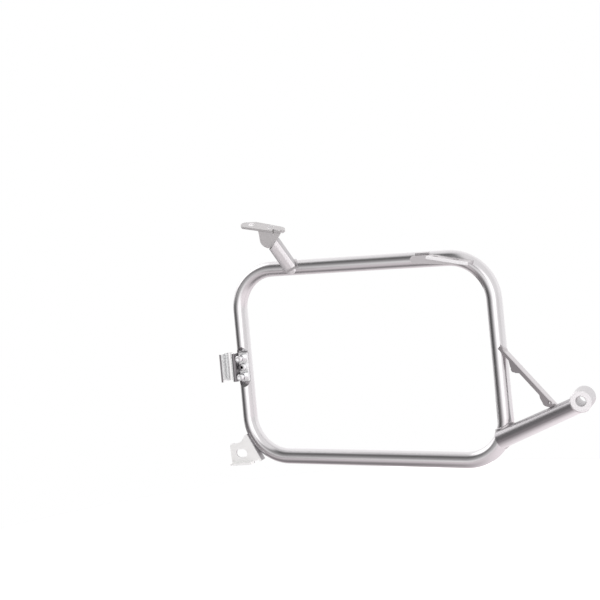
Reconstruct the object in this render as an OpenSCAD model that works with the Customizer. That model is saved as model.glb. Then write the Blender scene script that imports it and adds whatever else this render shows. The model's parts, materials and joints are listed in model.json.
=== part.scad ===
// Pannier frame: a bent tube hoop with a rear arm and bush, two top brackets,
// a lower tab and a latch plate on a pressed flat of its front tube.
// Millimetres. The origin is the middle of the bush's bore. +Z is up, +X is to the rear of the
// bike and -Y is the side the brackets stand on. The modules draw about the hoop's middle,
// and each node then moves home to the bush.

/* [Hoop] */

// Width of the hoop between tube centre lines
hoop_w = 318; // [240:1:420]
// Height of the hoop between tube centre lines
hoop_h = 226.5; // [180:0.5:340]
// Bend radius of the hoop's corners at the centre line
corner_r = 48.5; // [30:0.5:80]
// Outside diameter of the hoop's tube
tube_d = 18; // [12:0.5:28]
// Wall of the hoop's tube
tube_wall = 1.8; // [1:0.1:3]

/* [Pressed flat] */

// Height of the latch's middle above the hoop's middle
latch_z = -3.5; // [-30:0.5:30]
// How deep the tube is pressed flat
flat_depth = 4.5; // [2:0.1:6]
// Height of the flat itself
flat_h = 35; // [24:1:60]
// Height of the slope at each end of the flat
flat_ramp = 7; // [3:0.5:14]

/* [Front stub] */

// Where the stub's axis crosses the top tube's centre height, from the front tube's centre
stub_in = 77.5; // [60:0.5:120]
// The same point's offset towards the brackets
stub_out = 6; // [0:0.5:8]
// Lean of the stub towards the bracket side
stub_lean = 25.1; // [0:0.1:40]
// Lean of the stub to the front
stub_tilt = 20.8; // [0:0.1:40]
// Width of the stub's section
stub_w = 16.5; // [8:0.5:22]
// Depth of the stub's section
stub_t = 9; // [6:0.5:20]
// Corner radius of the stub's section
stub_r = 2; // [0.5:0.1:4]
// Wall of the stub
stub_wall = 1.5; // [1:0.1:3]

/* [Front top bracket] */

// Middle of the two holes on the top face, forwards of the stub's foot
fb_ahead = 23.7; // [10:0.1:40]
// The same point, out from the hoop's middle plane
fb_out = 28.5; // [10:0.1:50]
// The same point, above the top tube's centre
fb_rise = 53.9; // [30:0.1:90]
// Tilt of the top face towards the bracket side
fb_tilt = 28.8; // [0:0.1:45]
// Slope of the top face down to the rear
fb_pitch = 11; // [0:0.1:25]
// Sheet of the bracket
fb_sheet = 3; // [1.5:0.1:5]
// Distance between the bracket's holes
fb_spacing = 25.8; // [16:0.1:40]
// Diameter of the bracket's holes
fb_hole_d = 6.5; // [4:0.1:10]
// Front edge of the top face from the line of its holes
fb_front = 7.2; // [5:0.1:12]
// Back edge of the top face from the line of its holes
fb_back = 6.6; // [5:0.1:12]
// Front end of the top face from the middle of its holes
fb_ahead_end = 25.5; // [18:0.1:40]
// Rear end of the top face from the middle of its holes
fb_rear_end = 31.8; // [20:0.1:45]
// Width of the fold between the two relief holes
fold_w = 10; // [6:0.1:20]
// Diameter of the relief holes at the ends of the fold
relief_d = 2.6; // [1.5:0.1:4]
// Depth of the tongue below the top face
fb_tongue_h = 27; // [12:0.5:40]
// Radius of the tongue's end
fb_tongue_r = 9; // [4:0.5:12]

/* [Rear top bracket] */

// Sheet of the rear bracket
rb_sheet = 3; // [1.5:0.1:5]
// Middle of its shelf, in from the rear tube's centre
rb_in = 39.5; // [25:0.5:80]
// Slope of its shelf down to the rear
rb_pitch = 12; // [0:0.1:25]
// Length of its shelf
rb_len = 47; // [30:0.5:80]
// Reach of the shelf from the tube's front
rb_reach = 24; // [12:0.5:50]
// Distance between the shelf's holes
rb_spacing = 24; // [16:0.1:40]
// Diameter of the shelf's holes
rb_hole_d = 6.5; // [4:0.1:10]
// Setback of the shelf's holes from its outer edge
rb_edge = 11; // [6:0.5:20]
// How far the two holes sit forwards of the shelf's middle
rb_shift = 4.5; // [0:0.1:10]
// Length of the web from the shelf's middle to its rounded front end
rb_tongue = 44.9; // [20:0.1:60]
// Radius of the web's rounded front end
rb_tongue_r = 4.4; // [3:0.1:8]

/* [Lower tab] */

// Sheet of the tab
tab_sheet = 3; // [1.5:0.1:5]
// How far the tab's front face stands off the hoop's middle plane
tab_off = 10; // [9:0.5:40]
// Width of the tab's slot
slot_w = 15.5; // [8:0.5:24]
// Height of the tab's slot
slot_h = 10.2; // [5:0.1:14]
// Middle of the slot, out from the tab's root
slot_out = 16.9; // [8:0.1:24]
// Width of the tab along its foot
tab_foot = 31; // [18:0.5:40]
// Depth of the lip along the tab's foot
lip_d = 6; // [3:0.5:12]
// Thickness of the lip
lip_t = 2.6; // [1.5:0.1:5]
// Radius of the scoop above the tab's slot
scoop_r = 15.4; // [8:0.1:24]

/* [Rear arm] */

// Diameter of the arm at the hoop
arm_d1 = 20; // [14:0.5:28]
// Diameter of the arm at the bush
arm_d2 = 17.6; // [12:0.1:26]
// Wall of the arm
arm_wall = 2; // [1:0.1:4]

// How far the arm's lower edge stands below the bush
arm_under = 0.9; // [0:0.1:2]

/* [Bush] */

// Reach of the bush's middle beyond the rear tube's centre
bush_reach = 90.2; // [60:0.1:140]
// Height of the bush's middle above the bottom tube's centre
bush_rise = 73.5; // [40:0.1:120]
// How far the bush's middle stands out from the hoop's middle plane
bush_out = 25; // [10:0.5:50]

// Outside diameter of the bush
bush_d = 22.4; // [16:0.1:34]
// Bore of the bush
bush_bore = 10.4; // [6:0.1:20]
// Length of the bush
bush_l = 26; // [14:0.5:50]
// Edge break on the bush's ends
bush_edge = 0.6; // [0.2:0.1:2]

/* [Brace] */

// Sheet of the brace
brace_sheet = 2.5; // [1.5:0.1:4]
// Height of the brace's top end above the bottom tube's centre
brace_rise = 127; // [90:0.1:160]
// Width of the brace's flange
brace_w = 10; // [6:0.5:30]
// Depth of the brace's web between its lobes
brace_web = 4; // [2.6:0.1:12]

/* [Latch] */

// Sheet of the latch plate and its hook
latch_sheet = 2; // [1:0.1:4]
// Height of the latch plate
latch_h = 34; // [20:0.5:60]
// Middle of the hook's trough, forwards of the front tube's centre
hook_ahead = 18.8; // [14:0.1:30]
// Radius of the trough outside
hook_r = 7.5; // [4:0.1:12]
// Reach of the plate rearwards of the front tube's centre
plate_in = 5.9; // [4:0.1:10]
// Distance between the two screws
screw_pitch = 22.4; // [14:0.1:40]
// Diameter of the screws
screw_d = 5; // [3:0.5:8]
// Diameter of the screw heads
head_d = 7.8; // [5.5:0.1:14]
// Height of the screw heads
head_h = 4; // [2:0.1:8]
// How far the screw heads stand off the hoop's middle plane
head_off = 18.5; // [12:0.5:30]
// Diameter of the threaded boss
boss_d = 8.6; // [6:0.1:14]
// Bore of the threaded boss
boss_bore = 3.3; // [3:0.1:8]
// How far the boss stands off the hoop's middle plane
boss_off = 11.5; // [8:0.5:20]
// Width across the nut's flats
nut_af = 8; // [6:0.1:14]
// Height of the nut
nut_h = 3.5; // [2:0.1:8]
// Diameter of the washer
washer_d = 10; // [7:0.1:18]
// Thickness of the washer
washer_t = 1; // [0.5:0.1:2]
// Clearance round the screws and the boss
clear = 0.15; // [0.05:0.01:0.4]

/* [Welds] */

// Radius of the weld beads
bead_r = 1.8; // [1:0.1:3]

/* [Hidden] */

$fn = 64;
steel = [0.78, 0.77, 0.78];
satin = [0.70, 0.69, 0.70];
bead = [0.62, 0.61, 0.62];
rt = tube_d / 2;
front_x = -hoop_w / 2;
rear_x = hoop_w / 2;
top_z = hoop_h / 2;
foot_z = -hoop_h / 2;
arc_x = hoop_w / 2 - corner_r;
arc_z = hoop_h / 2 - corner_r;
flat_y = -rt + flat_depth;
latch_x = front_x;
plate_y = flat_y - latch_sheet;
stub_x = front_x + stub_in;
bush_x = rear_x + bush_reach;
bush_y = -bush_out;
bush_z = foot_z + bush_rise;
home = -[bush_x, bush_y, bush_z];
arm_a = [rear_x - 6.5, -rt / 2 - 1, foot_z + 25];
arm_b = [bush_x, bush_y, bush_z - 1.1 * (bush_d / 2 + arm_under - arm_d2 / 2)];
brace_at = [rear_x + 3.4, -rt - 1.2, foot_z + brace_rise];
brace_pitch = 48;
brace_yaw = -9.9;
brace_len = 84;
tab_angle = 221;
tab_root = [-arc_x, -arc_z] + (corner_r + rt) * [cos(tab_angle), sin(tab_angle)];
tab_apex = tab_root + [-7.4, 17.1];
tab_low = tab_root + [10, -14.4];
tab_len = norm(tab_low - tab_apex);
tab_turn = atan2(tab_low[1] - tab_apex[1], tab_low[0] - tab_apex[0]);
lip_in = 0.3;
tab_heel = [-tab_foot, -20.6];
tab_toe = [-1, -18.2];
tab_round_r = 3.2;
tab_round = tab_root + [tab_round_r - tab_foot - 1, 1.6];
tab_lap = tab_sheet / 2 * [sin(tab_turn), -cos(tab_turn)];
tab_set = -2 * [cos(tab_turn), sin(tab_turn)];
slot_at = tab_root + [-slot_out, -6.4];
fold_x = fb_rear_end - relief_d / 2 - 1.9 - fold_w / 2;
fb_tongue_back = -3.4;
fb_right = fold_x + fold_w / 2 - 0.2;
fb_tongue_x = [7.6, -fb_tongue_h + fb_tongue_r];
fb_tip = [fb_right, -fb_sheet];
fb_reach = norm(fb_tip - fb_tongue_x);
fb_aim = atan2(fb_tip[1] - fb_tongue_x[1], fb_tip[0] - fb_tongue_x[0]);
fb_touch = fb_aim - acos(fb_tongue_r / fb_reach);

// A round bar from one point to another, of one or two diameters
module bar(a, b, d1, d2) {
    v = b - a;
    translate(a)
        rotate([0, acos(v[2] / norm(v)), atan2(v[1], v[0])])
            cylinder(d1 = d1, d2 = d2, h = norm(v));
}

// A bar of one diameter along an axis: X, Y or Z
module along_x(r, l) {
    rotate([0, 90, 0])
        cylinder(r = r, h = l, center = true);
}

module along_y(r, l) {
    rotate([90, 0, 0])
        cylinder(r = r, h = l, center = true);
}

// Part of a ring about the Y axis, its angles measured from +X to +Z
module arc_y(ring_r, r, from, sweep) {
    rotate([90, 0, 0])
        rotate([0, 0, from])
            rotate_extrude(angle = sweep)
                translate([ring_r, 0])
                    circle(r = r);
}

// The closed hoop as a solid of the given section radius
module loop(r) {
    for (s = [-1, 1]) {
        translate([0, 0, s * hoop_h / 2])
            along_x(r, 2 * arc_x);
        translate([s * hoop_w / 2, 0, 0])
            cylinder(r = r, h = 2 * arc_z, center = true);
    }
    translate([arc_x, 0, arc_z])
        arc_y(corner_r, r, 0, 90);
    translate([-arc_x, 0, arc_z])
        arc_y(corner_r, r, 90, 90);
    translate([-arc_x, 0, -arc_z])
        arc_y(corner_r, r, 180, 90);
    translate([arc_x, 0, -arc_z])
        arc_y(corner_r, r, 270, 90);
}

// What the press takes off the front tube, with a slope at each end
module press() {
    slope = flat_ramp / flat_depth;
    half = flat_h / 2;
    over = 2;
    translate([latch_x - rt - 1, 0, latch_z])
        rotate([90, 0, 90])
            linear_extrude(tube_d + 2)
                polygon([[flat_y, -half], [flat_y, half],
                         [-rt - over, half + slope * (flat_depth + over)],
                         [-rt - over, -half - slope * (flat_depth + over)]]);
}

module screw_holes(d) {
    for (s = [-1, 1])
        translate([latch_x, -8, latch_z + s * screw_pitch / 2])
            along_y(d / 2, 12);
}

module hoop_tube() {
    color(steel)
    translate(home)
    difference() {
        loop(rt);
        press();
        difference() {
            loop(rt - tube_wall);
            translate([0, tube_wall, 0])
                press();
        }
        screw_holes(screw_d + 2 * clear);
        translate([latch_x, -8, latch_z])
            along_y(boss_bore / 2, 12);
    }
}

// The stub's own frame: +Z along the stub, +X across its width
module at_stub() {
    translate([stub_x, -stub_out, top_z])
        rotate([stub_lean, -stub_tilt, 0])
            children();
}

module round_box(w, t, r, h) {
    linear_extrude(h) {
        square([w - 2 * r, t], center = true);
        square([w, t - 2 * r], center = true);
        for (x = [-1, 1], y = [-1, 1])
            translate([x * (w / 2 - r), y * (t / 2 - r)])
                circle(r = r);
    }
}

// What is cut away under the stub's rounded foot
module below_stub() {
    r = stub_w / 2 - 0.2;
    difference() {
        translate([stub_x - 3 * r, -5 * r, top_z - 5 * r])
            cube([6 * r, 10 * r, 5 * r + 0.4]);
        translate([stub_x - 0.7, 0, top_z + 0.5])
            along_y(r, 11 * r);
    }
}

module stub_body() {
    difference() {
        at_stub()
            difference() {
                translate([0, 0, -11])
                    round_box(stub_w, stub_t, stub_r, 76);
                translate([0, 0, 12])
                    round_box(stub_w - 2 * stub_wall, stub_t - 2 * stub_wall, stub_r / 2, 60);
            }
        loop(rt);
        below_stub();
        at_front_bracket() {
            translate([-60, -40, -fb_sheet])
                cube([120, 80, 40]);
            tongue(-40, fb_tongue_back);
            translate([-60, -40, -14])
                cube([59.4, 80, 14]);
        }
    }
}

module front_stub() {
    color(satin)
    translate(home)
        stub_body();
}

// The front bracket's own frame: +Z out of its top face, +X along its holes
module at_front_bracket() {
    translate([stub_x - fb_ahead, -fb_out, top_z + fb_rise])
        rotate([fb_tilt, fb_pitch, 0])
            children();
}

// The tongue's outline: a round end with a straight left side and a slanting right side
module tongue_outline() {
    translate(fb_tongue_x)
        circle(r = fb_tongue_r);
    polygon([[fb_tongue_x[0] - fb_tongue_r, fb_tongue_x[1]],
             fb_tongue_x,
             fb_tongue_x + fb_tongue_r * [cos(fb_touch), sin(fb_touch)],
             fb_tip,
             [fb_tongue_x[0] - fb_tongue_r, -fb_sheet]]);
}

module tongue(y0, y1) {
    translate([0, y1, 0])
        rotate([90, 0, 0])
            linear_extrude(y1 - y0)
                tongue_outline();
}

module front_top_bracket() {
    color(satin)
    translate(home)
    at_front_bracket()
        difference() {
            union() {
                translate([0, 0, -fb_sheet])
                    linear_extrude(fb_sheet)
                        difference() {
                            union() {
                                polygon([[-fb_ahead_end + 5, -fb_front], [fold_x - fold_w / 2, -fb_front],
                                         [fold_x - fold_w / 2, -fb_front / 2],
                                         [fold_x + fold_w / 2, -fb_front / 2],
                                         [fb_rear_end - 1.8, -3], [fb_rear_end - 1.8, 1.6],
                                         [fb_rear_end - 4.8, fb_back - 3], [-9.5, fb_back],
                                         [-fb_ahead_end + 3.5, 2.7]]);
                                translate([-fb_ahead_end + 5, -fb_front + 5])
                                    circle(r = 5);
                                translate([fb_rear_end - 4.6, -1.4])
                                    circle(r = 4.6);
                            }
                            for (s = [-1, 1])
                                translate([s * fb_spacing / 2, 0])
                                    circle(d = fb_hole_d);
                        }
                tongue(fb_tongue_back - 2.5, fb_tongue_back);
                // The fold between the top face and the tongue
                translate([fold_x - fold_w / 2 + relief_d / 2 - 0.1, fb_tongue_back, -fb_sheet])
                    rotate([0, 90, 0])
                        intersection() {
                            cylinder(r = fb_sheet, h = fold_w - relief_d + 0.2);
                            translate([-fb_sheet, -2.5, 0])
                                cube([fb_sheet, 3, fold_w - relief_d + 0.2]);
                        }
            }
            // Relief holes at the ends of the fold
            for (s = [-1, 1])
                translate([fold_x + s * fold_w / 2, -5, -fb_sheet - 1.5])
                    cylinder(d = relief_d, h = fb_sheet + 3);
        }
}

// The shelf's own frame: +X along its slope, its origin on the tube's front
module at_rear_bracket() {
    translate([rear_x - rb_in, -rt, top_z + 0.9])
        rotate([0, rb_pitch, 0])
            children();
}

module rear_top_bracket() {
    color(satin)
    translate(home)
    difference() {
        union() {
            at_rear_bracket() {
                translate([0, 0, -rb_sheet])
                    linear_extrude(rb_sheet)
                        difference() {
                            polygon([[-rb_len / 2, -rb_reach], [rb_len / 2, -rb_reach],
                                     [rb_len / 2, 5], [-rb_len / 2 + 9, 5], [-rb_len / 2, -6]]);
                            for (s = [-1, 1])
                                translate([s * rb_spacing / 2 - rb_shift, -rb_reach + rb_edge])
                                    circle(d = rb_hole_d);
                        }
            }
            // The web that lies on the tube's front, ending in a rounded tongue
            translate([0, -rt + 1, 0])
                rotate([90, 0, 0])
                    linear_extrude(rb_sheet + 1)
                        web_outline();
        }
        loop(rt);
    }
}

// The web's outline on the tube's front, seen from the brackets' side
module web_outline() {
    x = rear_x - rb_in;
    z = top_z;
    tip = x - rb_tongue;
    polygon([[tip, z - 3.2], [x + 14.5, z - 8], [x + 18.5, z - 4], [x - 23.5, z + 5.5],
             [tip, z + 5.6]]);
    translate([tip, z + 1.2])
        circle(r = rb_tongue_r);
}

// The tab's outline, from its flange at the hoop's corner to its foot
// Where a line from an outer point touches a circle, on the side clockwise from the point
function tangent(centre, radius, point) =
    let (d = point - centre)
    let (turn = atan2(d[1], d[0]) - acos(radius / norm(d)))
    centre + radius * [cos(turn), sin(turn)];

module tab_outline() {
    difference() {
        union() {
            polygon([tab_apex + tab_lap, tab_low + tab_lap + tab_set, tab_root + [-1, -15.8],
                     tab_root + tab_toe, tab_root + tab_heel,
                     tangent(tab_round, tab_round_r - 0.02, tab_root + tab_heel),
                     tab_round + [0, tab_round_r - 0.02]]);
            translate(tab_round)
                circle(r = tab_round_r);
        }
        translate(tab_root + [-scoop_r - 10.1, scoop_r + 5.1])
            circle(r = scoop_r);
        tab_slot();
    }
}

// The tab's slot, made of two round ends and a middle
module tab_slot() {
    translate(slot_at)
        rotate([0, 0, 4.8]) {
            for (s = [-1, 1])
                translate([s * (slot_w - slot_h) / 2, 0])
                    circle(d = slot_h);
            square([slot_w - slot_h, slot_h], center = true);
        }
}

module lower_front_tab() {
    color(satin)
    translate(home)
    difference() {
        union() {
            translate([0, -tab_off + tab_sheet, 0])
                rotate([90, 0, 0])
                    linear_extrude(tab_sheet)
                        tab_outline();
            // The flange that turns back to the hoop
            translate([tab_apex[0], -tab_off, tab_apex[1]])
                rotate([0, -tab_turn, 0])
                    translate([0, 0, -tab_sheet])
                        cube([tab_len, tab_off, tab_sheet]);
            // The lip along the foot
            translate([tab_root[0] + tab_heel[0], -tab_off - lip_d, tab_root[1] + tab_heel[1]])
                rotate([0, -atan2(tab_toe[1] - tab_heel[1], tab_toe[0] - tab_heel[0]), 0])
                    translate([lip_in, 0, 0])
                        cube([tab_foot - 1.5, lip_d + tab_sheet, lip_t]);
        }
        loop(rt);
    }
}

module rear_arm_tube() {
    color(satin)
    translate(home)
    difference() {
        bar(arm_a, arm_b, arm_d1, arm_d2);
        bar(arm_a + 0.22 * (arm_b - arm_a), arm_b, arm_d1 - 2 * arm_wall - 0.4,
            arm_d2 - 2 * arm_wall);
        loop(rt);
        translate([bush_x, bush_y, bush_z])
            along_y(bush_d / 2, 60);
    }
}

module cross_bush() {
    r = bush_d / 2;
    b = bush_bore / 2;
    h = bush_l / 2;
    e = bush_edge;
    color(satin)
    translate(home)
    translate([bush_x, bush_y, bush_z])
        rotate([90, 0, 0])
            rotate_extrude()
                polygon([[b + e, -h], [r - e, -h], [r, -h + e], [r, h - e],
                         [r - e, h], [b + e, h], [b, h - e], [b, -h + e]]);
}

// The brace's own frame: +X down its length, +Y across its flange, +Z out of it
module at_brace() {
    translate(brace_at)
        rotate([0, brace_pitch, brace_yaw])
            children();
}

module brace_web_outline() {
    polygon([[0, 0], [brace_len, 0], [brace_len, -3], [78, -7.4], [73, -7.4], [68, -6],
             [65, -brace_web], [34.5, -brace_web], [31.2, -7.2], [28, -8.2],
             [22.5, -6.6], [17, -3], [0, -3]]);
    translate([27.4, -5.6])
        circle(r = 3.4);
    translate([75.4, -4.4])
        circle(r = 3.8);
}

module brace_body() {
    difference() {
        at_brace() {
            difference() {
                translate([0, 0, -brace_sheet])
                    cube([brace_len, brace_w, brace_sheet]);
            }
            translate([0, brace_sheet, 0])
                rotate([90, 0, 0])
                    linear_extrude(brace_sheet)
                        brace_web_outline();
        }
        // Relief at the foot of the fold
        at_brace()
            translate([78, 1, -1.4])
                sphere(r = 2.1);
        loop(rt);
        bar(arm_a, arm_b, arm_d1, arm_d2);
        // The far end is cut off behind the arm's middle
        translate([arm_a[0] + 2.5, -60, arm_a[2] - arm_d1 / 2 + 0.5])
            rotate([0, -24.9, 0])
                translate([0, 0, -60])
                    cube([200, 120, 60]);
    }
}

module brace() {
    color(satin)
    translate(home)
        brace_body();
}

// The hook's section, seen from above: plate, ridge and trough
module hook_section() {
    s = latch_sheet;
    r = hook_r;
    cx = latch_x - hook_ahead;
    cy = -6.5;
    lip = -17;
    // The trough
    difference() {
        translate([cx, cy])
            circle(r = r);
        translate([cx, cy])
            circle(r = r - s);
        translate([cx - r - 1, cy - 2 * r])
            square([2 * r + 2, 2 * r]);
    }
    // The outer lip and the inner side
    translate([cx - r, lip])
        square([s, cy - lip]);
    translate([cx + r - s, -10])
        square([s, 10 + cy]);
    // The ridge
    difference() {
        translate([cx + r + 1.5, -10])
            circle(r = s + 1.5);
        translate([cx + r + 1.5, -10])
            circle(r = 1.5);
        translate([cx + r - 3, -10])
            square([9, 9]);
    }
    // The side down to the plate, and the plate
    translate([cx + r + 3, -10])
        square([s, 10 + flat_y]);
    translate([cx + r + 3, plate_y])
        square([latch_x + plate_in - cx - r - 3, s]);
}

module latch_hook() {
    color(satin)
    translate(home)
    difference() {
        translate([0, 0, latch_z - latch_h / 2])
            linear_extrude(latch_h)
                hook_section();
        screw_holes(screw_d + 2 * clear);
        translate([latch_x, -8, latch_z])
            along_y(boss_d / 2 + clear, 12);
    }
}

module latch_boss() {
    e = 0.6;
    r = boss_d / 2;
    b = boss_bore / 2;
    h = boss_off + flat_y;
    color(steel)
    translate(home)
    translate([latch_x, flat_y, latch_z])
        rotate([90, 0, 0])
            rotate_extrude()
                polygon([[b, 0], [r, 0], [r, h - e], [r - e, h], [b + e, h], [b, h - e]]);
}

module latch_screw(s) {
    r = head_d / 2;
    k = screw_d / 2;
    reach = head_off + flat_y + tube_wall + 3;
    color(steel)
    translate(home)
    translate([latch_x, -head_off, latch_z + s * screw_pitch / 2])
        rotate([-90, 0, 0])
            difference() {
                rotate_extrude()
                    polygon([[0, 0], [r - 0.6, 0], [r, 0.6], [r, head_h], [k, head_h],
                             [k, reach - 0.5], [k - 0.5, reach], [0, reach]]);
                translate([0, 0, -1])
                    cylinder(d = 4.6, h = 3.2, $fn = 6);
            }
}

module latch_screw_upper() {
    latch_screw(1);
}

module latch_screw_lower() {
    latch_screw(-1);
}

module latch_washer(s) {
    color(steel)
    translate(home)
    translate([latch_x, plate_y, latch_z + s * screw_pitch / 2])
        rotate([90, 0, 0])
            difference() {
                cylinder(d = washer_d, h = washer_t);
                translate([0, 0, -1])
                    cylinder(d = screw_d + 2 * clear, h = washer_t + 2);
            }
}

module latch_washer_upper() {
    latch_washer(1);
}

module latch_washer_lower() {
    latch_washer(-1);
}

module latch_nut(s) {
    color(steel)
    translate(home)
    translate([latch_x, plate_y - washer_t, latch_z + s * screw_pitch / 2])
        rotate([90, 0, 0])
            difference() {
                intersection() {
                    cylinder(d = nut_af / cos(30), h = nut_h, $fn = 6);
                    rotate_extrude()
                        polygon([[0, 0], [nut_af * 0.56, 0], [nut_af * 0.56, nut_h - 0.6],
                                 [nut_af * 0.49, nut_h], [0, nut_h]]);
                }
                translate([0, 0, -1])
                    cylinder(d = screw_d + 2 * clear, h = nut_h + 2);
            }
}

module latch_nut_upper() {
    latch_nut(1);
}

module latch_nut_lower() {
    latch_nut(-1);
}

// A bead follows the line where two pieces meet: what both grown pieces share, less the pieces
// themselves

// The bead round the stub where it leaves the top tube
module stub_foot_weld() {
    color(bead)
    translate(home)
    difference() {
        intersection() {
            loop(rt + bead_r);
            at_stub()
                translate([0, 0, -1])
                    round_box(stub_w + 2 * bead_r, stub_t + 2 * bead_r, stub_r, 30);
        }
        loop(rt);
        stub_body();
    }
}

// A bead across the stub's back, under the front bracket
module stub_top_weld() {
    color(bead)
    translate(home)
    difference() {
        at_front_bracket()
            translate([5.8, 2.6, -fb_sheet])
                along_x(bead_r, stub_w - 2);
        at_front_bracket()
            translate([-60, -40, -fb_sheet])
                cube([120, 80, 40]);
        at_stub()
            round_box(stub_w, stub_t, stub_r, 70);
    }
}

// A bead along the top tube behind the rear bracket's shelf
module rear_bracket_weld() {
    color(bead)
    translate(home)
    difference() {
        translate([rear_x - rb_in - 35.5, -rt + 1.5, top_z + 6.6])
            along_x(bead_r, 16);
        loop(rt);
        translate([0, -rt + 1, 0])
            rotate([90, 0, 0])
                linear_extrude(rb_sheet + 1)
                    web_outline();
    }
}

// The bead between the hoop's corner and the back edge of the tab's flange
module tab_weld() {
    color(bead)
    translate(home)
    difference() {
        intersection() {
            loop(rt + bead_r);
            translate([tab_apex[0], -tab_off, tab_apex[1]])
                rotate([0, -tab_turn, 0])
                    translate([tab_len / 2 - 3, tab_off, -tab_sheet])
                        cube([tab_len / 2 - 5, 2.2, tab_sheet]);
        }
        loop(rt);
    }
}

// The bead round the arm where it meets the hoop
module arm_weld() {
    color(bead)
    translate(home)
    difference() {
        intersection() {
            loop(rt + bead_r);
            bar(arm_a, arm_b, arm_d1 + 2 * bead_r, arm_d2 + 2 * bead_r);
        }
        loop(rt);
        bar(arm_a, arm_b, arm_d1, arm_d2);
    }
}

// The bead round the arm where it meets the bush
module bush_weld() {
    color(bead)
    translate(home)
    difference() {
        intersection() {
            translate([bush_x, bush_y, bush_z])
                along_y(bush_d / 2 + 1.3 * bead_r, bush_l - 2);
            bar(arm_a, arm_b, arm_d1 + 1.2 * bead_r, arm_d2 + 1.2 * bead_r);
        }
        translate([bush_x, bush_y, bush_z])
            along_y(bush_d / 2, 60);
        bar(arm_a, arm_b, arm_d1, arm_d2);
    }
}

// The bead along the top of the brace's flange at the hoop
module brace_top_weld() {
    color(bead)
    translate(home)
    difference() {
        intersection() {
            loop(rt + bead_r);
            at_brace()
                translate([-15, 2, 0])
                    cube([30, brace_w - 4, bead_r]);
        }
        loop(rt);
    }
}

// The bead along the top of the brace's flange at the arm
module brace_foot_weld() {
    color(bead)
    translate(home)
    difference() {
        intersection() {
            bar(arm_a, arm_b, arm_d1 + 2 * bead_r, arm_d2 + 2 * bead_r);
            at_brace()
                translate([66, 2, 0])
                    cube([20, brace_w - 6, bead_r]);
        }
        bar(arm_a, arm_b, arm_d1, arm_d2);
    }
}

hoop_tube();
front_stub();
front_top_bracket();
rear_top_bracket();
lower_front_tab();
rear_arm_tube();
cross_bush();
brace();
latch_hook();
latch_boss();
latch_screw_upper();
latch_screw_lower();
latch_washer_upper();
latch_washer_lower();
latch_nut_upper();
latch_nut_lower();
stub_foot_weld();
stub_top_weld();
rear_bracket_weld();
tab_weld();
arm_weld();
bush_weld();
brace_top_weld();
brace_foot_weld();
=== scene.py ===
"""Pannier frame: a polished tube hoop with satin brackets, on a white studio floor."""
import json
import math

import bpy
from mathutils import Matrix, Vector


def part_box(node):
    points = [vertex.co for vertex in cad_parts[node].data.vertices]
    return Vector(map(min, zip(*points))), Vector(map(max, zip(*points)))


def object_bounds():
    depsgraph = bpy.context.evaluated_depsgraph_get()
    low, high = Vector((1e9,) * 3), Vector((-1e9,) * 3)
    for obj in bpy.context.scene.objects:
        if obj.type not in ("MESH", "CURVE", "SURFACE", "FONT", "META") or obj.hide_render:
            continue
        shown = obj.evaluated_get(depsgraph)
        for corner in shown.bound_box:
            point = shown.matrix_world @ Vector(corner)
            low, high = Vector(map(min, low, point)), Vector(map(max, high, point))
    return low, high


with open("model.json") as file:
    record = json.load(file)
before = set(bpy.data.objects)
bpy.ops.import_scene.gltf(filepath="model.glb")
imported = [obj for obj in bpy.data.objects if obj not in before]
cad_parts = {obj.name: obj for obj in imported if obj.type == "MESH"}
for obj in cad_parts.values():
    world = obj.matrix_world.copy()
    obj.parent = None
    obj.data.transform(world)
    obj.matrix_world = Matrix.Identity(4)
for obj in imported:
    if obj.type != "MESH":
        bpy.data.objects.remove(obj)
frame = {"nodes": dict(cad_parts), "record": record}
cad_box = [list(corner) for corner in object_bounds()]
MM = 0.001
X_AXIS = Vector((1, 0, 0))
Y_AXIS = Vector((0, 1, 0))
WHITE = (1, 1, 1, 1)

# The hoop's middle in the row's frame, from which the camera was measured
HOOP_MIDDLE = Vector((-249.2, 25.0, 39.7)) * MM


# Node trees

# The Mix node's sockets for its two values and its result, for each type of data
MIX_SOCKETS = {"FLOAT": (2, 3, 0), "RGBA": (6, 7, 2)}
# Colour ramps hold levels from 0 to 1, so they hold shares of this one
TOP_LEVEL = 2.0


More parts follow.
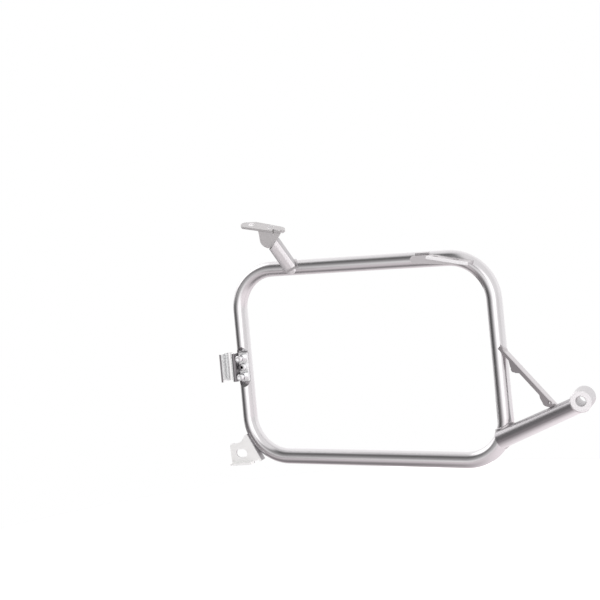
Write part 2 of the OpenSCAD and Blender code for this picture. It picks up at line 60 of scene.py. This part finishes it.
class Graph:
    """A node tree, with a short call for each kind of node that is used more than once."""

    def __init__(self, tree):
        self.tree = tree

    def node(self, kind, **settings):
        node = self.tree.nodes.new(kind)
        for name, value in settings.items():
            setattr(node, name, value)
        return node

    def feed(self, socket, value):
        """Link the socket to an output, or set it where the value is a constant."""
        if isinstance(value, bpy.types.NodeSocket):
            self.tree.links.new(value, socket)
        else:
            socket.default_value = value

    def coords(self, kind):
        return self.node("ShaderNodeTexCoord").outputs[kind]

    def xyz(self, vector):
        split = self.node("ShaderNodeSeparateXYZ")
        self.feed(split.inputs[0], vector)
        return split.outputs

    def math(self, operation, *values):
        node = self.node("ShaderNodeMath", operation=operation)
        for socket, value in zip(node.inputs, values):
            self.feed(socket, value)
        return node.outputs[0]

    def vector(self, operation, *values, result="Vector"):
        node = self.node("ShaderNodeVectorMath", operation=operation)
        for socket, value in zip(node.inputs, values):
            self.feed(socket, value)
        return node.outputs[result]

    def noise(self, coords, scale, detail):
        node = self.node("ShaderNodeTexNoise")
        node.inputs["Scale"].default_value = scale
        node.inputs["Detail"].default_value = detail
        self.feed(node.inputs["Vector"], coords)
        return node.outputs["Fac"]

    def ramp(self, value, start, end, low=0.0, high=1.0, smooth=False):
        """The value's run from start to end as one from low to high, held level past both."""
        if start > end:
            start, end, low, high = end, start, high, low
        node = self.node("ShaderNodeMapRange")
        if smooth:
            node.interpolation_type = "SMOOTHSTEP"
        node.inputs["From Min"].default_value = start
        node.inputs["From Max"].default_value = end
        node.inputs["To Min"].default_value = low
        node.inputs["To Max"].default_value = high
        self.feed(node.inputs["Value"], value)
        return node.outputs["Result"]

    def mix(self, factor, none, full, data_type="FLOAT"):
        first, second, result = MIX_SOCKETS[data_type]
        node = self.node("ShaderNodeMix", data_type=data_type)
        self.feed(node.inputs["Factor"], factor)
        self.feed(node.inputs[first], none)
        self.feed(node.inputs[second], full)
        return node.outputs[result]

    def levels(self, place, stops):
        """The level at a place from 0 to 1, from (place, level) pairs, blended smoothly."""
        node = self.node("ShaderNodeValToRGB")
        ramp = node.color_ramp
        ramp.interpolation = "EASE"
        while len(ramp.elements) > 1:
            ramp.elements.remove(ramp.elements[0])
        for i, (position, level) in enumerate(stops):
            stop = ramp.elements[0] if i == 0 else ramp.elements.new(position)
            stop.position = position
            share = level / TOP_LEVEL
            stop.color = (share, share, share, 1)
        self.feed(node.inputs["Fac"], place)
        return self.math("MULTIPLY", node.outputs["Color"], TOP_LEVEL)


def new_material(name):
    """An empty principled material, as the material, its graph and its shader's inputs."""
    mat = bpy.data.materials.new(name)
    mat.use_nodes = True
    mat.node_tree.nodes.clear()
    graph = Graph(mat.node_tree)
    out = graph.node("ShaderNodeOutputMaterial")
    shader = graph.node("ShaderNodeBsdfPrincipled")
    graph.feed(out.inputs["Surface"], shader.outputs["BSDF"])
    return mat, graph, shader.inputs


def dress(obj, mat):
    obj.data.materials.clear()
    obj.data.materials.append(mat)


# Metal

CLOUD_SCALE = 22.0
CLOUD_DETAIL = 3.0
GRAIN_DETAIL = 2.0
GRAIN_DEPTH = 0.2 * MM


def metal(name, light, dark, roughness, spread, grain=0.0, grain_scale=0.0, metallic=1.0):
    """Steel whose colour drifts a little from place to place and whose polish is uneven."""
    mat, graph, shader = new_material(name)
    coords = graph.coords("Object")
    cloud = graph.noise(coords, CLOUD_SCALE, CLOUD_DETAIL)
    graph.feed(shader["Base Color"], graph.mix(cloud, (*dark, 1), (*light, 1), "RGBA"))
    graph.feed(shader["Roughness"],
               graph.ramp(cloud, 0, 1, low=roughness - spread, high=roughness + spread))
    shader["Metallic"].default_value = metallic
    if grain:
        bump = graph.node("ShaderNodeBump")
        bump.inputs["Strength"].default_value = grain
        bump.inputs["Distance"].default_value = GRAIN_DEPTH
        graph.feed(bump.inputs["Height"], graph.noise(coords, grain_scale, GRAIN_DETAIL))
        graph.feed(shader["Normal"], bump.outputs["Normal"])
    return mat


def tint_and_painted_light(mat, place, colour):
    """Another colour on the metal where place, a function of its nodes, comes near 1; the
    pieces' painted light and shade are put on this way.
    """
    graph = Graph(mat.node_tree)
    shader = next(node for node in graph.tree.nodes if node.type == "BSDF_PRINCIPLED")
    base = shader.inputs["Base Color"]
    before = base.links[0].from_socket
    factor = place(graph, graph.coords("Object"))
    graph.feed(base, graph.mix(factor, before, (*colour, 1), "RGBA"))


def beyond(direction, none, full, mirrored=False):
    """What lies past a plane across direction, or past it both ways if mirrored."""
    def place(graph, coords):
        along = graph.vector("DOT_PRODUCT", coords, direction, result="Value")
        if mirrored:
            along = graph.math("ABSOLUTE", along)
        return graph.ramp(along, none, full)
    return place


def between(direction, low, high, soft):
    """What lies between two planes across direction, soft at both."""
    def place(graph, coords):
        past_low = beyond(direction, low - soft, low)(graph, coords)
        short_of_high = beyond(direction, high + soft, high)(graph, coords)
        return graph.math("MULTIPLY", past_low, short_of_high)
    return place


def bore_wall(mount):
    """The wall of a mount's hole, found by its distance from the hole's axis."""
    radius = mount["dims"]["r_mm"] * MM
    near = 0.1 * MM
    far = 0.2 * MM

    def place(graph, coords):
        from_hole = graph.vector("SUBTRACT", coords, mount["pos_m"])
        axis = Vector(mount["axis"]).normalized()
        across = graph.vector("CROSS_PRODUCT", from_hole, axis)
        distance = graph.vector("LENGTH", across, result="Value")
        return graph.ramp(distance, radius + far, radius + near)
    return place


# Finishes, some with painted light and shade

def weld_steel():
    return metal("weld_steel", light=(0.66, 0.64, 0.65), dark=(0.48, 0.46, 0.47),
                 roughness=0.34, spread=0.08, grain=0.6, grain_scale=300.0)


def polished_steel():
    return metal("polished_tube", light=(0.72, 0.71, 0.72), dark=(0.66, 0.65, 0.66),
                 roughness=0.20, spread=0.03)


def fastener_steel():
    return metal("fastener_steel", light=(0.90, 0.90, 0.91), dark=(0.82, 0.82, 0.83),
                 roughness=0.22, spread=0.05)


def arm_steel():
    """The arm has painted shade along its front and a painted highlight underneath; its axis
    passes near the row's origin.
    """
    mat = metal("arm_steel", light=(0.44, 0.43, 0.44), dark=(0.40, 0.39, 0.40),
                roughness=0.34, spread=0.04, grain=0.15, grain_scale=600.0)
    across = Vector((-0.42, 0, 0.91))
    # Painted shade along the arm's front
    front = between(across, low=-4.5 * MM, high=-0.5 * MM, soft=3.5 * MM)
    # Painted highlight along the arm's underside
    painted_highlight_under = beyond(across, none=-4.5 * MM, full=-9 * MM)
    tint_and_painted_light(mat, front, (0.28, 0.27, 0.28))
    tint_and_painted_light(mat, painted_highlight_under, (0.80, 0.79, 0.80))
    return mat


def stub_steel():
    """Painted shade on the pressed face's left edge and at its corner, and a painted highlight
    on its right part.
    """
    mat = metal("stub_satin_steel", light=(0.75, 0.73, 0.74), dark=(0.67, 0.65, 0.66),
                roughness=0.50, spread=0.05, grain=0.12, grain_scale=700.0, metallic=0.65)
    across = Vector((0.927, 0, 0.375))
    low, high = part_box("front_stub")
    middle = across.dot((low + high) / 2)
    # Painted shade at the left edge and the corner, a painted highlight on the right part
    painted_shade_left_edge = beyond(across, none=middle - 1.2 * MM, full=middle - 5.7 * MM)
    painted_highlight_right_part = between(across, low=middle + 4.3 * MM, high=middle + 6.7 * MM, soft=2.5 * MM)
    corner = beyond(across, none=middle + 7.5 * MM, full=middle + 8.4 * MM)
    tint_and_painted_light(mat, painted_shade_left_edge, (0.48, 0.47, 0.48))
    tint_and_painted_light(mat, painted_highlight_right_part, (0.98, 0.97, 0.98))
    tint_and_painted_light(mat, corner, (0.50, 0.49, 0.50))
    return mat


def front_bracket_steel():
    """The plate above the fold has painted shade, and the walls of its holes a painted
    highlight.
    """
    mat = metal("front_satin_steel", light=(0.61, 0.60, 0.60), dark=(0.56, 0.55, 0.55),
                roughness=0.40, spread=0.05, metallic=0.5)
    holes = [mount for mount in frame["record"]["mounts"]
             if mount["name"].startswith("front_bracket_hole")]
    up = Vector(holes[0]["axis"])
    plate_top = up.dot(Vector(holes[0]["pos_m"]))
    # Painted shade over the plate above the fold
    painted_shade_plate = beyond(up, none=plate_top - 3.5 * MM, full=plate_top - 2.5 * MM)
    tint_and_painted_light(mat, painted_shade_plate, (0.50, 0.49, 0.49))
    # Painted highlight on the walls of the holes
    for hole in holes:
        tint_and_painted_light(mat, bore_wall(hole), (0.97, 0.97, 0.97))
    return mat


def rear_bracket_steel():
    """The bracket's edge towards the camera has a painted highlight."""
    mat = metal("rear_satin_steel", light=(0.64, 0.62, 0.63), dark=(0.57, 0.55, 0.56),
                roughness=0.40, spread=0.05, grain=0.25, grain_scale=700.0, metallic=0.9)
    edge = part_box("rear_top_bracket")[0].y
    # Painted highlight along the edge towards the camera
    tint_and_painted_light(mat, beyond(Y_AXIS, none=edge + 3 * MM, full=edge + 1 * MM), (0.97, 0.96, 0.97))
    return mat


def tab_steel():
    """A pale tab, with painted shade where its lip bends back from the camera."""
    mat = metal("pale_satin_steel", light=(0.97, 0.97, 0.96), dark=(0.92, 0.92, 0.91),
                roughness=0.38, spread=0.05, grain=0.12, grain_scale=500.0, metallic=0.45)
    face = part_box("lower_front_tab")[0].y
    # Painted shade where the lip bends back from the camera
    tint_and_painted_light(mat, beyond(Y_AXIS, none=face + 6.4 * MM, full=face + 7.4 * MM), (0.50, 0.49, 0.50))
    return mat


def hook_steel():
    """A bright trough with painted shade as a grey band on its roll and at the end of its lip,
    and a painted shadow on the ridge beside it.
    """
    mat = metal("rolled_steel", light=(0.97, 0.98, 0.98), dark=(0.93, 0.94, 0.94),
                roughness=0.28, spread=0.04, metallic=0.9)
    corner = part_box("latch_hook")[0]
    # Painted shade as a grey band and on the lip's end, and a painted shadow on the ridge
    painted_shade_band = between(X_AXIS, low=corner.x + 3.6 * MM, high=corner.x + 9.5 * MM, soft=0.6 * MM)
    painted_shade_lip_end = beyond(Y_AXIS, none=corner.y + 1.2 * MM, full=corner.y + 0.6 * MM)
    painted_shadow_ridge = between(X_AXIS, low=corner.x + 15.9 * MM, high=corner.x + 20.5 * MM, soft=0.5 * MM)
    tint_and_painted_light(mat, painted_shade_band, (0.66, 0.66, 0.66))
    tint_and_painted_light(mat, painted_shade_lip_end, (0.34, 0.32, 0.33))
    tint_and_painted_light(mat, painted_shadow_ridge, (0.20, 0.19, 0.20))
    return mat


def boss_steel():
    """The boss has painted shade on its left half."""
    mat = metal("boss_steel", light=(0.86, 0.86, 0.87), dark=(0.80, 0.80, 0.81),
                roughness=0.24, spread=0.04)
    low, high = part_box("latch_boss")
    middle = (low.x + high.x) / 2
    # Painted shade over the left half
    left = beyond(X_AXIS, none=middle + 0.2 * MM, full=middle - 0.8 * MM)
    tint_and_painted_light(mat, left, (0.22, 0.21, 0.22))
    return mat


def bush_steel():
    """The bush's end faces are lighter than its body."""
    mat = metal("turned_steel", light=(0.56, 0.55, 0.56), dark=(0.51, 0.50, 0.51),
                roughness=0.36, spread=0.05, grain=0.1, grain_scale=900.0, metallic=0.8)
    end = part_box("cross_bush")[1].y
    faces = beyond(Y_AXIS, none=end - 0.8 * MM, full=end - 0.2 * MM, mirrored=True)
    tint_and_painted_light(mat, faces, (0.84, 0.83, 0.84))
    return mat


def brace_steel():
    """The flange stands back from the brace's face, and a painted highlight shows the light it
    catches.
    """
    mat = metal("brace_steel", light=(0.45, 0.43, 0.44), dark=(0.40, 0.38, 0.39),
                roughness=0.34, spread=0.05, grain=0.15, grain_scale=600.0)
    out_of_face = Vector((-0.172, -0.985, 0))
    # Painted highlight on the flange
    tint_and_painted_light(mat, beyond(out_of_face, none=-0.8 * MM, full=-1.8 * MM), (0.60, 0.58, 0.59))
    return mat


# The record's material slots, and the pieces whose finish differs from their slot's, with the
# painted light and shade that some of them carry
SLOT_FINISHES_AND_PAINTED_LIGHT = {
    "polished_tube": polished_steel(),
    "arm_steel": arm_steel(),
    "fastener_steel": fastener_steel(),
    "weld_steel": weld_steel(),
}
PIECE_FINISHES_AND_PAINTED_LIGHT = {
    "front_stub": stub_steel(),
    "front_top_bracket": front_bracket_steel(),
    "rear_top_bracket": rear_bracket_steel(),
    "lower_front_tab": tab_steel(),
    "latch_hook": hook_steel(),
    "latch_boss": boss_steel(),
    "cross_bush": bush_steel(),
    "brace": brace_steel(),
}

for part in frame["record"]["subparts"]:
    finish_and_painted_light = PIECE_FINISHES_AND_PAINTED_LIGHT.get(part["node"]) or SLOT_FINISHES_AND_PAINTED_LIGHT[part["material_slot"]]
    dress(frame["nodes"][part["node"]], finish_and_painted_light)


# Floor

FLOOR_COLOUR = (0.86, 0.86, 0.86, 1)
FLOOR_ROUGHNESS = 0.9
FLOOR_GLOW = 0.5
FLOOR_RADIUS = 1.6
FLOOR_SIDES = 96
# The frame is bolted up on a bike, so the floor lies well below it
FLOOR_DROP = 0.42


def floor_material():
    """Pale floor: lit like paint, with enough light of its own to show white but for shadows."""
    mat, graph, shader = new_material("studio_white")
    shader["Base Color"].default_value = FLOOR_COLOUR
    shader["Roughness"].default_value = FLOOR_ROUGHNESS
    shader["Emission Color"].default_value = WHITE
    ray = graph.node("ShaderNodeLightPath").outputs
    seen = graph.math("MAXIMUM", ray["Is Camera Ray"], ray["Is Glossy Ray"])
    seen = graph.math("MAXIMUM", seen, ray["Is Transmission Ray"])
    graph.feed(shader["Emission Strength"], graph.math("MULTIPLY", seen, FLOOR_GLOW))
    return mat


def studio_floor():
    place = (HOOP_MIDDLE.x, HOOP_MIDDLE.y, cad_box[0][2] - FLOOR_DROP)
    bpy.ops.mesh.primitive_circle_add(vertices=FLOOR_SIDES, radius=FLOOR_RADIUS,
                                      fill_type="NGON", location=place)
    floor = bpy.context.object
    floor.name = "studio_floor"
    dress(floor, floor_material())


# Studio light

TENT_COLOUR = (1.0, 0.985, 0.99, 1)
# Height on the unit sphere at which upright tubes mirror the tent to the camera, and how far
# from it the light round a post gives way to the light round a level tube
POST_HEIGHT = -0.15
POST_BAND = (0.11, 0.24)
# Light round a post, in degrees from the front towards the bike's rear
POST_LEVELS = [(-180, 1.2), (-128, 1.2), (-112, 0.75), (-94, 0.33), (-72, 0.09), (-56, 0.12),
               (-46, 0.24), (-36, 0.46), (-22, 0.85), (-10, 1.25), (0, 1.6), (16, 1.75),
               (28, 1.4), (42, 1.05), (56, 0.9), (70, 0.9), (86, 1.02), (102, 1.1), (122, 1.08),
               (142, 1.18), (180, 1.2)]
# Light round a level tube, in degrees from the front upwards
RAIL_LEVELS = [(-180, 1.2), (-120, 0.9), (-98, 0.42), (-78, 0.24), (-62, 0.4), (-45, 0.72),
               (-26, 0.84), (-8, 0.74), (6, 0.6), (17, 0.42), (30, 0.27), (48, 0.15),
               (60, 0.18), (72, 0.5), (86, 0.92), (106, 1.05), (130, 1.18), (180, 1.2)]
# The dark band over the front ends near the middle: the tent's right side opens to this
# level, over this run of X on the unit sphere
RIGHT_LEVEL = 1.0
RIGHT_OPENS = (-0.22, 0.12)
# Soft boxes: high on the hoop's front side, for the arm's upper edge, and over the camera, for
# the white line round the hoop's corners
SOFT_BOXES = (
    {"aim": (-0.80, 0.0, 0.60), "inner": 12, "outer": 31, "level": 1.25},
    {"aim": (0.36, -0.92, 0.16), "inner": 5, "outer": 20, "level": 0.8},
)


def profile(graph, angle, levels):
    """The level at an angle in degrees, from (degrees, level) pairs."""
    place = graph.math("MULTIPLY_ADD", angle, 1 / 360, 0.5)
    return graph.levels(place, [(0.5 + degrees / 360, level) for degrees, level in levels])


def soft_box(graph, direction, aim, inner, outer, level):
    """A round patch of light: full within inner degrees of aim, gone by outer."""
    nearness = graph.vector("DOT_PRODUCT", direction, Vector(aim).normalized(), result="Value")
    return graph.ramp(nearness, math.cos(math.radians(outer)), math.cos(math.radians(inner)),
                      high=level, smooth=True)


def tent_light(graph):
    """The light as a function of direction, as a photographer's tent gives it."""
    direction = graph.coords("Generated")
    x, y, z = graph.xyz(direction)
    front = graph.math("MULTIPLY", y, -1.0)
    post = profile(graph, graph.math("DEGREES", graph.math("ARCTAN2", x, front)), POST_LEVELS)
    rail = profile(graph, graph.math("DEGREES", graph.math("ARCTAN2", z, front)), RAIL_LEVELS)
    right = graph.ramp(x, *RIGHT_OPENS, high=RIGHT_LEVEL, smooth=True)
    off_post = graph.math("ABSOLUTE", graph.math("SUBTRACT", z, POST_HEIGHT))
    total = graph.mix(graph.ramp(off_post, *POST_BAND, smooth=True), post,
                      graph.math("MAXIMUM", rail, right))
    for box in SOFT_BOXES:
        total = graph.math("ADD", total, soft_box(graph, direction, **box))
    return total


def studio_world():
    """The tent lights the frame and shows in its metal; the camera sees plain white."""
    world = bpy.data.worlds.new("studio")
    world.use_nodes = True
    world.node_tree.nodes.clear()
    graph = Graph(world.node_tree)
    tent = graph.node("ShaderNodeBackground")
    tent.inputs["Color"].default_value = TENT_COLOUR
    graph.feed(tent.inputs["Strength"], tent_light(graph))
    backdrop = graph.node("ShaderNodeBackground")
    backdrop.inputs["Color"].default_value = WHITE
    ray = graph.node("ShaderNodeLightPath").outputs
    choose = graph.node("ShaderNodeMixShader")
    out = graph.node("ShaderNodeOutputWorld")
    graph.feed(choose.inputs[0], ray["Is Camera Ray"])
    graph.feed(choose.inputs[1], tent.outputs["Background"])
    graph.feed(choose.inputs[2], backdrop.outputs["Background"])
    graph.feed(out.inputs["Surface"], choose.outputs["Shader"])
    bpy.context.scene.world = world


# Card under the frame

# Its corners and its height, from the hoop's middle
CARD_LEFT, CARD_RIGHT = -1.3, 1.7
CARD_FRONT, CARD_BACK = -1.4, 1.7
CARD_DROP = 0.45
CARD_COLOUR = (1.0, 0.93, 0.955, 1)
# The degrees of the light round a level tube that the card can stand for
CARD_ANGLES = (-179, -10)
# Its left end fades to a quarter, its right end to the level of the open side, over these
# runs of X from the hoop's middle
CARD_ENDS = (
    {"start": -0.50, "end": -0.80, "level": 0.25},
    {"start": -0.13, "end": 0.32, "level": 1.1},
)


def card_stops(front, back):
    """The light round a level tube, laid out along the card from front to back."""
    first, last = CARD_ANGLES
    stops = []
    for degrees, level in RAIL_LEVELS:
        if first < degrees < last:
            y = HOOP_MIDDLE.y - CARD_DROP / math.tan(math.radians(-degrees))
            if front <= y <= back:
                stops.append(((y - front) / (back - front), level))
    return sorted(stops)


def card_material(name, front, back):
    mat, graph, shader = new_material(name)
    x, y, _ = graph.xyz(graph.coords("Object"))
    shade = graph.levels(graph.ramp(y, front, back), card_stops(front, back))
    for end in CARD_ENDS:
        fade = graph.ramp(x, HOOP_MIDDLE.x + end["start"], HOOP_MIDDLE.x + end["end"],
                          smooth=True)
        shade = graph.mix(fade, shade, end["level"])
    graph.feed(shader["Emission Strength"], shade)
    shader["Emission Color"].default_value = CARD_COLOUR
    shader["Base Color"].default_value = (0, 0, 0, 1)
    shader["Specular IOR Level"].default_value = 0.0
    return mat


def under_card():
    """A shaded card that only reflections show, as a photographer lays under polished tube."""
    name = "under_flag"
    left, right = HOOP_MIDDLE.x + CARD_LEFT, HOOP_MIDDLE.x + CARD_RIGHT
    front, back = HOOP_MIDDLE.y + CARD_FRONT, HOOP_MIDDLE.y + CARD_BACK
    z = HOOP_MIDDLE.z - CARD_DROP
    corners = [(left, front, z), (right, front, z), (right, back, z), (left, back, z)]
    mesh = bpy.data.meshes.new(name)
    mesh.from_pydata(corners, [], [(0, 1, 2, 3)])
    card = bpy.data.objects.new(name, mesh)
    bpy.context.collection.objects.link(card)
    dress(card, card_material(name, front, back))
    card.visible_camera = False
    card.visible_shadow = False
    card.visible_diffuse = False


# Lamps

def lamp(name, offset, size, power):
    """A soft lamp, offset from the hoop's middle and aimed at it, that mirrors don't show."""
    data = bpy.data.lights.new(name, "AREA")
    data.shape = "RECTANGLE"
    data.size, data.size_y = size
    data.energy = power
    obj = bpy.data.objects.new(name, data)
    bpy.context.collection.objects.link(obj)
    obj.location = HOOP_MIDDLE + Vector(offset)
    obj.rotation_euler = (-Vector(offset)).to_track_quat("-Z", "Y").to_euler()
    obj.visible_glossy = False


# Camera

# The turn, place and lens that lay the hoop's outline on the photograph's
YAW, PITCH, ROLL = -0.447, -0.012, 0.094
CAMERA_AT = Vector((466.6, -1126.1, 194.0)) * MM + HOOP_MIDDLE
LENS = 62.65
SENSOR_WIDTH = 36
NEAREST = 0.05
# The pixel that the lens's axis meets, and the picture's width and height in pixels
PRINCIPAL = (292.2, 187.5)
SIZE = 600


def photo_camera():
    """A camera that stands, turns and shifts as the photograph's did."""
    forward = Vector((math.sin(YAW) * math.cos(PITCH), math.cos(YAW) * math.cos(PITCH),
                      -math.sin(PITCH)))
    right = Vector((math.cos(YAW), -math.sin(YAW), 0))
    down = forward.cross(right)
    image_x = math.cos(ROLL) * right + math.sin(ROLL) * down
    image_y = -math.sin(ROLL) * right + math.cos(ROLL) * down
    turn = Matrix((image_x, -image_y, -forward)).transposed()
    data = bpy.data.cameras.new("photo_camera")
    data.lens = LENS
    data.sensor_width = SENSOR_WIDTH
    data.sensor_fit = "HORIZONTAL"
    data.shift_x = (SIZE / 2 - PRINCIPAL[0]) / SIZE
    data.shift_y = (PRINCIPAL[1] - SIZE / 2) / SIZE
    data.clip_start = NEAREST
    obj = bpy.data.objects.new("photo_camera", data)
    bpy.context.collection.objects.link(obj)
    obj.matrix_world = Matrix.Translation(CAMERA_AT) @ turn.to_4x4()
    bpy.context.scene.camera = obj


studio_floor()
studio_world()
under_card()
lamp("key_above", offset=(0.2, 0.35, 1.5), size=(1.6, 0.9), power=9)
lamp("fill_front", offset=(-0.5, -1.6, 0.6), size=(0.8, 0.8), power=5)
photo_camera()
bpy.context.scene.view_settings.view_transform = "Standard"
